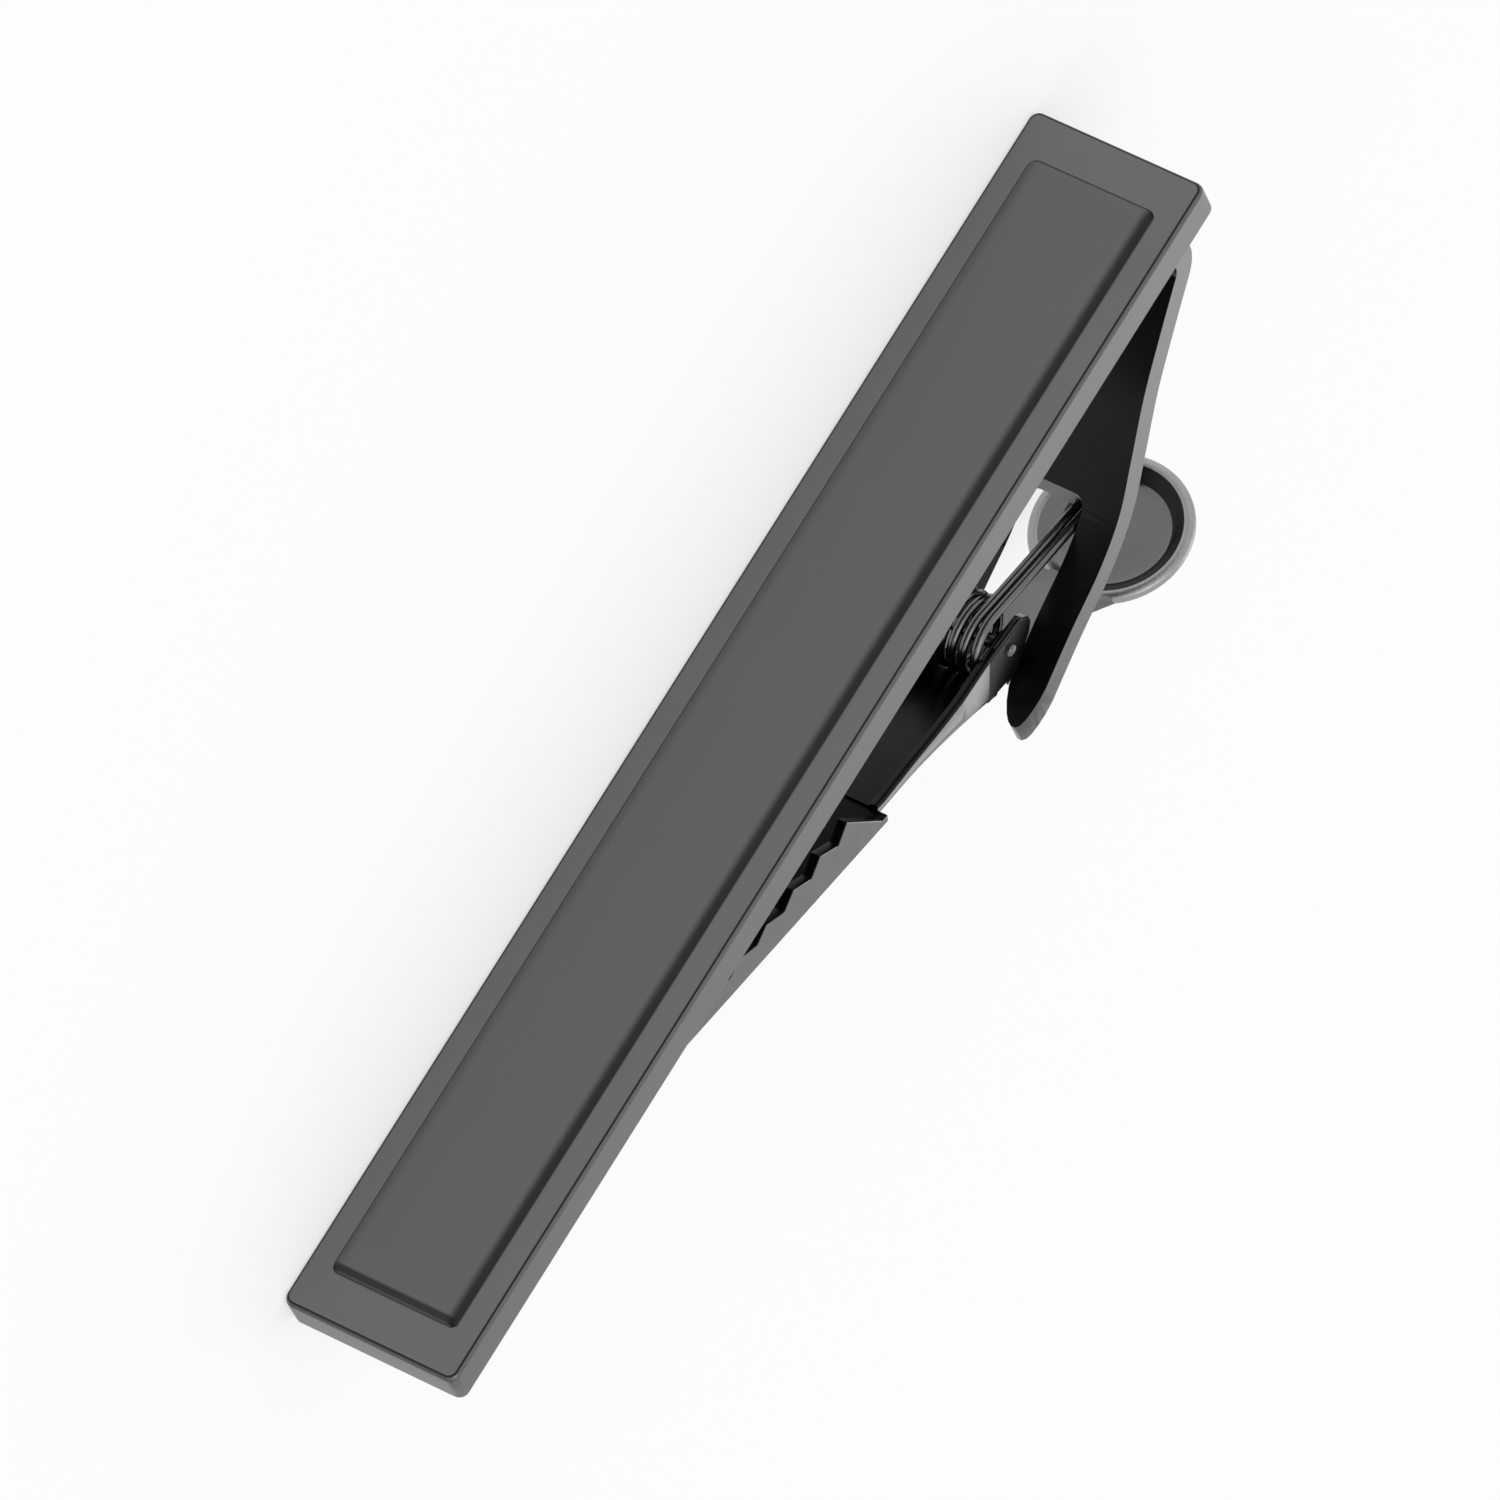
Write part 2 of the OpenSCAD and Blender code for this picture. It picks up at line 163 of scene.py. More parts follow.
def use_modifier(obj, kind, **settings):
    """Adds a modifier with its settings and applies it."""
    take(obj)
    bpy.ops.object.modifier_add(type=kind)
    modifier = obj.modifiers[-1]
    for key, value in settings.items():
        setattr(modifier, key, value)
    bpy.ops.object.modifier_apply(modifier=modifier.name)
    return obj


def carve(obj, tool, operation="DIFFERENCE"):
    """Cuts a piece with a tool, or adds or meets them, and deletes the tool."""
    use_modifier(obj, "BOOLEAN", object=tool, operation=operation, solver="EXACT")
    let_go()
    tool.select_set(True)
    bpy.ops.object.delete()
    return obj


def ease_edges(obj, width, segments=3, angle=35):
    """Rounds the edges as tumbling and plating leave them."""
    take(obj)
    bpy.ops.object.mode_set(mode="EDIT")
    bpy.ops.mesh.select_all(action="SELECT")
    bpy.ops.mesh.remove_doubles(threshold=NEAR * MM)
    bpy.ops.mesh.dissolve_limited(angle_limit=math.radians(NEARLY_FLAT))
    bpy.ops.object.mode_set(mode="OBJECT")
    return use_modifier(
        obj, "BEVEL", width=width * MM, segments=segments, limit_method="ANGLE",
        angle_limit=math.radians(angle), miter_outer="MITER_ARC", use_clamp_overlap=True,
    )


def smooth(obj, angle=32, weighted=True):
    """Smooth shading that keeps flat faces flat."""
    take(obj)
    bpy.ops.object.shade_smooth_by_angle(angle=math.radians(angle))
    if weighted:
        use_modifier(obj, "WEIGHTED_NORMAL", keep_sharp=True, weight=80)
    return obj


def curve_through(points, steps):
    """A smooth curve through a few points, with its heading in degrees at each step."""
    out = []
    ends = [points[0]] + list(points) + [points[-1]]
    for k in range(len(points) - 1):
        p0, p1, p2, p3 = ends[k:k + 4]
        for i in range(steps + (1 if k == len(points) - 2 else 0)):
            t = i / steps
            out.append(tuple(
                0.5 * (2 * b + (c - a) * t
                       + (2 * a - 5 * b + 4 * c - d) * t ** 2 + (3 * b - a - 3 * c + d) * t ** 3)
                for a, b, c, d in zip(p0, p1, p2, p3)))
    headings = []
    for i in range(len(out)):
        a, b = out[max(i - 1, 0)], out[min(i + 1, len(out) - 1)]
        headings.append(math.degrees(math.atan2(b[1] - a[1], b[0] - a[0])))
    return list(zip(out, headings))


def table(rows, at):
    """Reads a value from a short list of (place, value) pairs, straight between them."""
    if at <= rows[0][0]:
        return rows[0][1]
    for (a, low), (b, high) in zip(rows, rows[1:]):
        if at <= b:
            return low + (high - low) * (at - a) / (b - a)
    return rows[-1][1]


def sheet_ring(centre, heading, half, thin, corner):
    """A rounded rectangle across a sheet that runs along the heading."""
    ring = []
    for k, (sz, sn) in enumerate(CORNERS):
        for i in range(SHEET_STEPS + 1):
            a = math.radians(90 * k + 90 * i / SHEET_STEPS)
            z = sz * (half - corner) + corner * math.cos(a)
            off = sn * (thin - corner) + corner * math.sin(a)
            x, y = moved((0, off), centre, heading)
            ring.append(place(x, y, z))
    return ring


def join(name, pieces):
    """Joins pieces into the first one, which takes the name."""
    let_go()
    for piece in pieces:
        piece.select_set(True)
    bpy.context.view_layer.objects.active = pieces[0]
    bpy.ops.object.join()
    pieces[0].name = pieces[0].data.name = name
    return pieces[0]


def mirrored(obj):
    """A copy of a piece on the other side of mid-height, with its own mesh."""
    take(obj)
    bpy.ops.object.duplicate()
    twin = bpy.context.object
    for vertex in twin.data.vertices:
        vertex.co.z = -vertex.co.z
    bpy.ops.object.mode_set(mode="EDIT")
    bpy.ops.mesh.select_all(action="SELECT")
    bpy.ops.mesh.flip_normals()
    bpy.ops.object.mode_set(mode="OBJECT")
    return twin


def fit(obj, body, finish, node=None):
    """Gives a piece its finish, its body and the CAD node that it stands for."""
    obj.data.materials.clear()
    obj.data.materials.append(finish)
    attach(obj, body)
    if node:
        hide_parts(node)
    return obj


def shade_side(obj, finish, test):
    """One more finish, on the faces that the test picks."""
    obj.data.materials.append(finish)
    slot = len(obj.data.materials) - 1
    for face in obj.data.polygons:
        if test(face):
            face.material_index = slot
    return obj


def faces_bar(face):
    """Whether a face looks at the bar."""
    return face.normal.y < LOOKS_AT_BAR


# Shader maths

class Wire:
    """A shader socket that takes part in sums."""

    def __init__(self, finish, socket):
        self.finish = finish
        self.socket = socket

    def _sum(self, operation, *values):
        """Adds a Math node for the operation."""
        node = self.finish.node("ShaderNodeMath", {"operation": operation}, dict(enumerate(values)))
        return Wire(self.finish, node.outputs[0])

    def __add__(self, other):
        return self._sum("ADD", self, other)

    def __radd__(self, other):
        return self._sum("ADD", other, self)

    def __sub__(self, other):
        return self._sum("SUBTRACT", self, other)

    def __rsub__(self, other):
        return self._sum("SUBTRACT", other, self)

    def __mul__(self, other):
        return self._sum("MULTIPLY", self, other)

    def __rmul__(self, other):
        return self._sum("MULTIPLY", other, self)

    def __pow__(self, other):
        return self._sum("POWER", self, other)


def shade_of(base, share):
    """A colour made darker or lighter."""
    return tuple(min(1.0, c * share) for c in base)


# Sockets of a Mix node that is set to colours: its two colours and its result
MIX_LOW, MIX_HIGH, MIX_RESULT = 6, 7, 2


class Finish:
    """A material under construction."""

    def __init__(self, name):
        self.material = bpy.data.materials.new(name)
        self.material.use_nodes = True
        self.tree = self.material.node_tree
        self.tree.nodes.clear()
        self.shader = self.node("ShaderNodeBsdfPrincipled", {}, {})
        self.output = self.node("ShaderNodeOutputMaterial", {}, {"Surface": self.shader.outputs[0]})

    def node(self, kind, settings, inputs):
        """Adds a node: its settings first, then its sockets' values or links."""
        node = self.tree.nodes.new(kind)
        for key, value in settings.items():
            setattr(node, key, value)
        for key, value in inputs.items():
            self.feed(node, key, value)
        return node

    def feed(self, node, key, value):
        """Sets a socket to a value or links it."""
        if isinstance(value, Wire):
            value = value.socket
        if isinstance(value, bpy.types.NodeSocket):
            self.tree.links.new(value, node.inputs[key])
        else:
            node.inputs[key].default_value = value

    def pattern(self, scale, detail=3.0, stretch=(1, 1, 1), roughness=0.5):
        """Noise on the object's own coordinates; scale is in repeats to the metre."""
        coords = self.node("ShaderNodeTexCoord", {}, {}).outputs["Object"]
        mapped = self.node("ShaderNodeMapping", {}, {"Vector": coords, "Scale": stretch})
        noise = self.node(
            "ShaderNodeTexNoise", {},
            {"Vector": mapped.outputs[0], "Scale": scale, "Detail": detail, "Roughness": roughness},
        )
        return Wire(self, noise.outputs[0])

    def tint(self, amount, base, low, high):
        """A colour that runs from one share of itself to another."""
        mix = self.node("ShaderNodeMix", {"data_type": "RGBA"}, {"Factor": amount})
        self.feed(mix, MIX_LOW, (*shade_of(base, low), 1))
        self.feed(mix, MIX_HIGH, (*shade_of(base, high), 1))
        return mix.outputs[MIX_RESULT]

    def relief(self, height, strength, depth):
        """Fine relief on the surface, its depth in millimetres."""
        node = self.node(
            "ShaderNodeBump", {}, {"Height": height, "Strength": strength, "Distance": depth * MM}
        )
        return node.outputs[0]

    def metal(self, colour, roughness, relief):
        """Makes the shader a bare metal and gives its material."""
        self.feed(self.shader, "Base Color", colour)
        self.shader.inputs["Metallic"].default_value = 1.0
        self.feed(self.shader, "Roughness", roughness)
        self.feed(self.shader, "Normal", relief)
        return self.material


# Bands of painted shade on the panel's shoulders: from where to where they come or go, and how dark they are
UPPER_SHOULDER, UPPER_EDGE = (2.5, 2.95, 0.85), (3.06, 3.13, 1.0)
LOWER_SHOULDER = (-3.0, -2.4, 0.3)
JAW_SHOULDER, JAW_EDGE = (27.5, 27.66, 0.8), (27.82, 27.98, 1.0)
# The colour where a band of painted shade is deepest, as a share of the panel's
SHADE_BAND_SHARE = 0.13


def brushed_finish(name, base, roughness):
    """Gunmetal plate over brushed steel, with painted shade on the upper, lower and jaw-end shoulders."""
    f = Finish(name)
    coords = f.node("ShaderNodeTexCoord", {}, {}).outputs["Object"]
    apart = f.node("ShaderNodeSeparateXYZ", {}, {"Vector": coords}).outputs

    def ramp(axis, low, high, share):
        """A share that comes in smoothly from one place to another."""
        node = f.node("ShaderNodeMapRange", {"interpolation_type": "SMOOTHSTEP"}, {
            "Value": apart[axis], "From Min": low * MM, "From Max": high * MM,
            "To Min": 0.0, "To Max": share})
        return Wire(f, node.outputs[0])

    # Painted shade: darker on the upper shoulder, towards the lower edge and at the jaw end
    upper = ramp("Z", *UPPER_SHOULDER) * (1 - ramp("Z", *UPPER_EDGE))
    side = upper + (LOWER_SHOULDER[2] - ramp("Z", *LOWER_SHOULDER))
    jaw_end = ramp("X", *JAW_SHOULDER) * (1 - ramp("X", *JAW_EDGE))
    deep = side + jaw_end * (1 - side)
    hair = f.pattern(24000, 2.0, (0.012, 1, 1))
    drift = f.pattern(120, 2.0, (1, 1, 3))
    mix = f.node("ShaderNodeMix", {"data_type": "RGBA"}, {"Factor": deep})
    f.feed(mix, MIX_LOW, f.tint(hair * 0.7 + drift * 0.3, base, 0.9, 1.1))
    f.feed(mix, MIX_HIGH, (*shade_of(base, SHADE_BAND_SHARE), 1))
    rough = hair * 0.12 + drift * 0.06 + (roughness - 0.09)
    return f.metal(mix.outputs[MIX_RESULT], rough, f.relief(hair, 0.5, 0.003))


def satin_finish(name, base, roughness):
    """Gunmetal plate on the smooth border, with the faintest drag marks."""
    f = Finish(name)
    drag = f.pattern(9000, 2.0, (0.03, 1, 1))
    cloud = f.pattern(260, 3.0)
    rough = drag * 0.08 + cloud * 0.05 + (roughness - 0.065)
    return f.metal(f.tint(cloud, base, 0.95, 1.05), rough, f.relief(drag, 0.25, 0.0015))


def plated_finish(name, base, roughness):
    """Bright gunmetal plate on pressed sheet: a slight roll grain and small specks."""
    f = Finish(name)
    roll = f.pattern(1500, 3.0)
    speck = f.pattern(16000, 2.0, roughness=0.7)
    rough = roll * 0.08 + speck ** 3 * 0.2 + (roughness - 0.06)
    return f.metal(f.tint(roll * 0.6 + speck * 0.4, base, 0.9, 1.1), rough, f.relief(roll, 0.3, 0.004))


def wire_finish(name, base, roughness):
    """Drawn spring wire under the same plate."""
    f = Finish(name)
    drawn = f.pattern(20000, 2.0, (1, 1, 0.15))
    rough = drawn * 0.12 + (roughness - 0.06)
    return f.metal(f.tint(drawn, base, 0.85, 1.15), rough, f.relief(drawn, 0.3, 0.003))


def lighter_rim_finish(name, base, roughness):
    """The pad's rim, painted lighter than the rest of the plate and slightly nicked."""
    f = Finish(name)
    nick = f.pattern(5200, 4.0, roughness=0.75)
    rub = f.pattern(900, 2.0)
    rough = nick * 0.2 + (roughness - 0.1)
    return f.metal(f.tint(nick * 0.7 + rub * 0.3, base, 0.7, 1.25), rough, f.relief(nick, 0.7, 0.02))


def painted_shade_finish(name, base, roughness=0.3):
    """The deep, nearly black painted shade on faces that look at the bar, standing in for their shade and
    dark reflections.
    """
    f = Finish(name)
    roll = f.pattern(1500, 3.0)
    rough = roll * 0.1 + (roughness - 0.05)
    return f.metal(f.tint(roll, base, 0.85, 1.15), rough, f.relief(roll, 0.2, 0.003))


def solder_finish(name, base, roughness):
    """Solder that has set dull and slightly rippled."""
    f = Finish(name)
    ripple = f.pattern(2600, 4.0)
    rough = ripple * 0.3 + (roughness - 0.15)
    return f.metal(f.tint(ripple, base, 0.8, 1.1), rough, f.relief(ripple, 0.6, 0.02))


def floor_finish(colour, lift):
    """Pale matt floor. What looks at it directly sees it nearly white, with the shadow kept."""
    f = Finish("pale floor")
    grain = f.pattern(900, 2.0)
    f.feed(f.shader, "Base Color", f.tint(grain, colour, 0.995, 1.0))
    f.shader.inputs["Roughness"].default_value = 0.9
    f.shader.inputs["Specular IOR Level"].default_value = 0.1
    path = f.node("ShaderNodeLightPath", {}, {}).outputs
    camera, glossy, through = (
        Wire(f, path[f"Is {ray} Ray"]) for ray in ("Camera", "Glossy", "Transmission"))
    glow = f.node("ShaderNodeEmission", {}, {"Color": (1, 1, 1, 1), "Strength": 1.0})
    mix = f.node("ShaderNodeMixShader", {}, {0: (camera + glossy + through) * lift})
    f.feed(mix, 1, f.shader.outputs[0])
    f.feed(mix, 2, glow.outputs[0])
    f.feed(f.output, "Surface", mix.outputs[0])
    return f.material


# Settings that a user would change

class TieClipFinishes(bpy.types.PropertyGroup):
    bar_colour: bpy.props.FloatVectorProperty(
        name="Bar", description="Colour of the plate on the bar", subtype="COLOR",
        size=3, min=0, max=1, default=(0.150, 0.150, 0.151))
    panel_colour: bpy.props.FloatVectorProperty(
        name="Panel", description="Colour of the brushed panel", subtype="COLOR",
        size=3, min=0, max=1, default=(0.130, 0.130, 0.131))
    spring_colour: bpy.props.FloatVectorProperty(
        name="Spring", description="Colour of the spring wire", subtype="COLOR",
        size=3, min=0, max=1, default=(0.17, 0.17, 0.171))
    sheet_colour: bpy.props.FloatVectorProperty(
        name="Lever and arm", description="Colour of the plate on the pressed sheet", subtype="COLOR",
        size=3, min=0, max=1, default=(0.165, 0.165, 0.166))
    # The nearly black colour painted on faces that look at the bar as their shade, not the plate's own colour
    painted_shade_colour: bpy.props.FloatVectorProperty(
        name="Inner faces", description="Colour of the plate on faces that look at the bar", subtype="COLOR",
        size=3, min=0, max=1, default=(0.024, 0.024, 0.0242))
    solder_colour: bpy.props.FloatVectorProperty(
        name="Solder", description="Colour of the solder", subtype="COLOR",
        size=3, min=0, max=1, default=(0.42, 0.42, 0.43))
    floor_colour: bpy.props.FloatVectorProperty(
        name="Floor", description="Colour of the floor", subtype="COLOR",
        size=3, min=0, max=1, default=(0.95, 0.95, 0.95))
    brushed_roughness: bpy.props.FloatProperty(
        name="Brushed roughness", description="Roughness of the brushed panel",
        subtype="FACTOR", min=0, max=1, default=0.36)
    plated_roughness: bpy.props.FloatProperty(
        name="Plated roughness", description="Roughness of the bright plate",
        subtype="FACTOR", min=0, max=1, default=0.13)


class TieClipSizes(bpy.types.PropertyGroup):
    wire: bpy.props.FloatProperty(
        name="Wire", description="Diameter of the spring wire", unit="LENGTH",
        subtype="DISTANCE", precision=5, default=0.43 * MM)
    edge: bpy.props.FloatProperty(
        name="Sheet edge", description="Rounding of the sheet's edges", unit="LENGTH",
        subtype="DISTANCE", precision=5, default=0.09 * MM)
    rim: bpy.props.FloatProperty(
        name="Pad rim", description="Width of the bright rim of the thumb pad", unit="LENGTH",
        subtype="DISTANCE", precision=5, default=0.45 * MM)


# The bar

THICK = 1.9
# Half the length and half the height of the panel's foot, and how wide its shoulder is
FOOT_L, FOOT_H, SHOULDER_W = 28.0, 3.125, 0.53
# The panel's corner radius at its foot, and the least that it closes to
PANEL_CORNER, SHARPEST = 0.45, 0.1
# The border from back to front: how far in, its corner's radius and how far behind its face
BORDER = (
    (0.14, 0.36, THICK), (0.04, 0.41, THICK - 0.04), (0, 0.45, THICK - 0.14), (0, 0.45, 0.30),
    (0, 0.45, 0.25), (0.03, 0.43, 0.14), (0.09, 0.39, 0.05), (0.17, 0.34, 0.008), (0.25, 0.3, 0),
    (0.32, 0.28, 0),
)
# Rings on the border's face round the panel's foot: how far out and the corner's radius
FOOT_RINGS = ((0.12, 0.5), (0.05, 0.47))
# The shoulder's rise as (share of its width, share of the panel's rise)
SHOULDER = (
    (0.0, 0.0), (0.05, 0.10), (0.11, 0.30), (0.18, 0.47), (0.27, 0.62), (0.38, 0.74),
    (0.5, 0.84), (0.64, 0.92), (0.8, 0.975), (1.0, 1.0),
)
# How far behind the border's face its narrow line of painted shade, along the turned-back edge, starts and
# ends
PAINTED_EDGE_SHADE = (0.006, 0.06)


def bar_ring(half_l, half_h, radius, behind, steps=7):
    """A rectangle with round corners about the bar's middle, at a depth behind the border's face."""
    ring = []
    for k, (sx, sz) in enumerate(CORNERS):
        for i in range(steps + 1):
            a = math.radians(90 * k + 90 * i / steps)
            x = sx * (half_l - radius) + radius * math.cos(a)
            z = sz * (half_h - radius) + radius * math.sin(a)
            ring.append(Vector((x * MM, (behind + PANEL_RISE) * MM, z * MM)))
    return ring


def on_panel(face):
    """Whether a face is on the raised panel or its shoulder."""
    x, y, z = face.center / MM
    return abs(x) < FOOT_L - 0.02 and abs(z) < FOOT_H - 0.02 and y < PANEL_RISE * 0.97


def on_painted_edge_shade(face):
    """Whether a face is on the narrow line of painted shade where the border turns back."""
    return PAINTED_EDGE_SHADE[0] < face.center.y / MM - PANEL_RISE < PAINTED_EDGE_SHADE[1]


def at_jaw_end(face):
    """Whether a face looks along the bar, out of its jaw end."""
    return face.normal.x > 0.8


class TIECLIP_OT_bar(bpy.types.Operator):
    """Build the bar with its eased border edge and raised, brushed panel"""

    bl_idname = "tieclip.bar"
    bl_label = "Bar"

    def execute(self, context):
        tint = context.scene.tie_clip_finishes
        rings = [
            bar_ring(HALF_BAR - inset, HALF_HEIGHT - inset, radius, behind)
            for inset, radius, behind in BORDER
        ]
        rings += [bar_ring(FOOT_L + out, FOOT_H + out, radius, 0) for out, radius in FOOT_RINGS]
        for across, rise in SHOULDER:
            inset = SHOULDER_W * across
            corner = max(SHARPEST, PANEL_CORNER - inset * 0.6)
            rings.append(bar_ring(FOOT_L - inset, FOOT_H - inset, corner, -PANEL_RISE * rise))
        for inset in (SHOULDER_W + 0.05, SHOULDER_W + 0.1):
            rings.append(bar_ring(FOOT_L - inset, FOOT_H - inset, SHARPEST, -PANEL_RISE))
        bar = smooth(skin("bar_shell", rings), 38)
        fit(bar, "root", satin_finish("satin gunmetal", tint.bar_colour, 0.3), "front_bar")
        brushed = brushed_finish("brushed gunmetal", tint.panel_colour, tint.brushed_roughness)
        shade_side(bar, brushed, on_panel)
        # A narrow line of painted shade along the border's turned-back edge
        dark = painted_shade_finish("painted shade border edge", shade_of(tint.painted_shade_colour, 1.3))
        shade_side(bar, dark, on_painted_edge_shade)
        # The bar's face at the jaw end is painted darker, as painted shade
        tip = satin_finish("satin tip in painted shade", shade_of(tint.bar_colour, 0.6), 0.3)
        shade_side(bar, tip, at_jaw_end)
        return {"FINISHED"}


# The arm

ARM_T, ARM_HALF = 1.16, 3.3
# Stations of the foot along the bar, then the root bend: its centre, radius, step and count of steps
FOOT_STATIONS = (9.25, 6.5)
ROOT_BEND, BEND_R, BEND_STEP, BEND_STEPS = (3.25, 3.87), 1.3, 4.5, 29
# The middle of the climbing arm's sheet, in a gentle S from the root bend to the prongs' tips
CLIMB = ((2.37, 4.83), (4.4, 6.5), (6.5, 8.35), (8.45, 10.5), (10.35, 12.5), (12.6, 13.75), (15.3, 14.56),
         (18.3, 15.65), (20.7, 16.6))
CLIMB_STEPS = 7
SLOT_END, SLOT_HALF, SLOT_CORNER = 10.6, 1.6, 0.55
# One prong's end as (along, up), seen from behind: the slot's side, the tip and the outer side
PRONG_END = ((17.7, 1.6), (18.4, 1.68), (19.0, 1.87), (19.45, 2.1), (19.7, 2.3), (19.82, 2.5), (19.82, 2.7),
             (19.68, 2.88), (19.4, 3.02), (19.0, 3.14), (18.5, 3.24), (17.9, 3.3))
# The tool that shapes the prongs: its side, beyond the arm's edge, and the depths that it runs between
PLAN_SIDE = ((9.3, 3.6), (18.0, 3.6))
PLAN_DEPTHS = (4.2, 22.0)
# The part of the tool that leaves the foot and the root bend whole: its side view and half its height
WHOLE_PART, WHOLE_HALF = ((0.5, 1.0), (9.31, 1.0), (9.31, 22.1), (0.5, 22.1)), 3.7
# A lug on a prong: its radius round the pin, the corners at its root, and its two faces
LUG_R, LUG_ROOT, LUG_FACES = 0.68, ((17.15, 14.75), (18.42, 15.15)), (1.49, 1.64)
# Faces that look at the bar get painted shade from this station on
ARM_SHADE_FROM = 2.9


def prong_plan():
    """The outline of both prongs and the slot, as (along, up) places."""
    corner = [
        (SLOT_END + SLOT_CORNER * (1 - math.sin(math.radians(a))),
         SLOT_HALF - SLOT_CORNER * (1 - math.cos(math.radians(a))))
        for a in range(0, 91, 15)
    ]
    half = list(PLAN_SIDE) + list(reversed(PRONG_END)) + corner
    return half + [(x, -z) for x, z in reversed(half)]


def in_arm_shade(face):
    """Whether a face gets painted shade: it looks at the bar from the root bend on, or is the slot's flat
    end.
    """
    x, z = face.center.x / MM + HALF_BAR, face.center.z / MM
    slot_end = face.normal.x > 0.4 and abs(z) < SLOT_HALF + 0.1 and -0.6 < x - SLOT_END < 0.8
    return (faces_bar(face) and x > ARM_SHADE_FROM) or slot_end


class TIECLIP_OT_arm(bpy.types.Operator):
    """Build the bent arm with its slot, two finger-shaped prongs and lugs"""

    bl_idname = "tieclip.arm"
    bl_label = "Arm"

    def execute(self, context):
        tint = context.scene.tie_clip_finishes
        edge = context.scene.tie_clip_sizes.edge / MM
        path = [((along, ROOT_BEND[1] - BEND_R), 180.0) for along in FOOT_STATIONS]
        bend = arc(ROOT_BEND, BEND_R, 270, 270 - BEND_STEP * BEND_STEPS, BEND_STEPS)
        path += [(p, 180.0 - i * BEND_STEP) for i, p in enumerate(bend)]
        path += curve_through(CLIMB, CLIMB_STEPS)
        outside = [moved((0, ARM_T / 2), p, h) for p, h in path]
        inside = [moved((0, -ARM_T / 2), p, h) for p, h in path]
        sides = (-ARM_HALF, ARM_HALF)
        strip = skin("fork_arm", [[place(x, y, z) for x, y in outside + inside[::-1]] for z in sides])
        prism = skin("fork_plan", [[place(x, y, z) for x, z in prong_plan()] for y in PLAN_DEPTHS])
        carve(prism, side_plate("foot_keep", WHOLE_PART, -WHOLE_HALF, WHOLE_HALF), "UNION")
        carve(strip, prism, "INTERSECT")
        ease_edges(strip, edge * 1.3)
        smooth(strip, 40)

        outline = [LUG_ROOT[0]] + arc(PIVOT, LUG_R, 180, 360, 14) + [LUG_ROOT[1]]
        lug = side_plate("lug", outline, *LUG_FACES)
        ease_edges(lug, 0.03, 2)
        smooth(lug)
        arm = join("fork_arm", [strip, lug, mirrored(lug)])
        steel = plated_finish("plated gunmetal arm", shade_of(tint.sheet_colour, 0.75), tint.plated_roughness)
        fit(arm, "root", steel, "arm")
        # Painted shade on the arm's faces that look at the bar and on the slot's flat end
        shade_side(arm, painted_shade_finish("painted shade arm", tint.painted_shade_colour), in_arm_shade)
        return {"FINISHED"}


# The solder

# The bead's middle along the bar, half its length, half its height and its corner's radius
BEAD_AT, BEAD_L, BEAD_H, BEAD_CORNER = 6.25, 3.25, 3.55, 0.4
# The bead's rings: how far in, and how far behind the border's face
BEAD_RINGS = ((0.0, 1.9), (0.02, 1.93), (0.1, 1.98), (0.24, 2.015))
# How far the bead's outline swells and shrinks, as a share of its size
RIPPLE = 0.005


class TIECLIP_OT_solder(bpy.types.Operator):
    """Build the bead of solder under the arm's foot"""

    bl_idname = "tieclip.solder"
    bl_label = "Solder"

    def execute(self, context):
        tint = context.scene.tie_clip_finishes
        rings = []
        for inset, behind in BEAD_RINGS:
            ring = []
            for corner in bar_ring(BEAD_L - inset, BEAD_H - inset, BEAD_CORNER - inset * 0.5, 0):
                x, z = corner.x / MM, corner.z / MM
                swell = 1 + RIPPLE * math.sin(x * 4.1 + z * 2.7) * (1 if inset else 0.6)
                ring.append(place(BEAD_AT + x * swell, behind, z * swell))
            rings.append(ring)
        bead = smooth(skin("solder_bead", rings), 60)
        fit(bead, "root", solder_finish("set solder", tint.solder_colour, 0.45), "solder_joint")
        return {"FINISHED"}


# The pin

PIN_R, PIN_STEPS = 0.31, 36
# One rounded end of the pin, from its tip to the shaft: radius and height
PIN_END = ((0.1, 2.3), (0.2, 2.29), (0.27, 2.25), (PIN_R, 2.18), (PIN_R, 2.0))


class TIECLIP_OT_pin(bpy.types.Operator):
    """Build the pivot pin, a plain shaft with two rounded ends"""

    bl_idname = "tieclip.pin"
    bl_label = "Pivot pin"

    def execute(self, context):
        tint = context.scene.tie_clip_finishes
        stations = [(r, -z) for r, z in PIN_END] + [(r, z) for r, z in reversed(PIN_END)]
        rings = [
            [place(*moved((r, 0), PIVOT, 360 * i / PIN_STEPS), z) for i in range(PIN_STEPS)]
            for r, z in stations
        ]
        pin = smooth(skin("pivot_rivet", rings), 40)
        fit(pin, "root", plated_finish("plated pin", tint.sheet_colour, 0.2), "pivot_pin")
        return {"FINISHED"}


# The lever

SHEET = 0.45
# The channel's drop towards the jaw, where its sections start and how far they go
BEAM_DROP, BEAM_START, BEAM_LENGTH, BEAM_STEPS = 25.5, 0.9, 9.65, 24
# The channel along its own direction from the pivot: its rear face, its front edge and its half width
REAR_FACE = ((0.0, 2.3), (1.4, 2.1), (2.8, 1.87), (4.11, 1.67), (5.6, 1.49), (7.17, 1.36), (9.67, 1.3))
FRONT_EDGE = ((-0.84, -1.1), (0.6, -0.68), (2.1, -0.24), (3.59, 0.14), (5.6, 0.34), (7.71, 0.47), (10.1, 0.7))
HALF_WIDTH = ((0.0, 2.09), (1.9, 2.09), (10.1, 2.64))
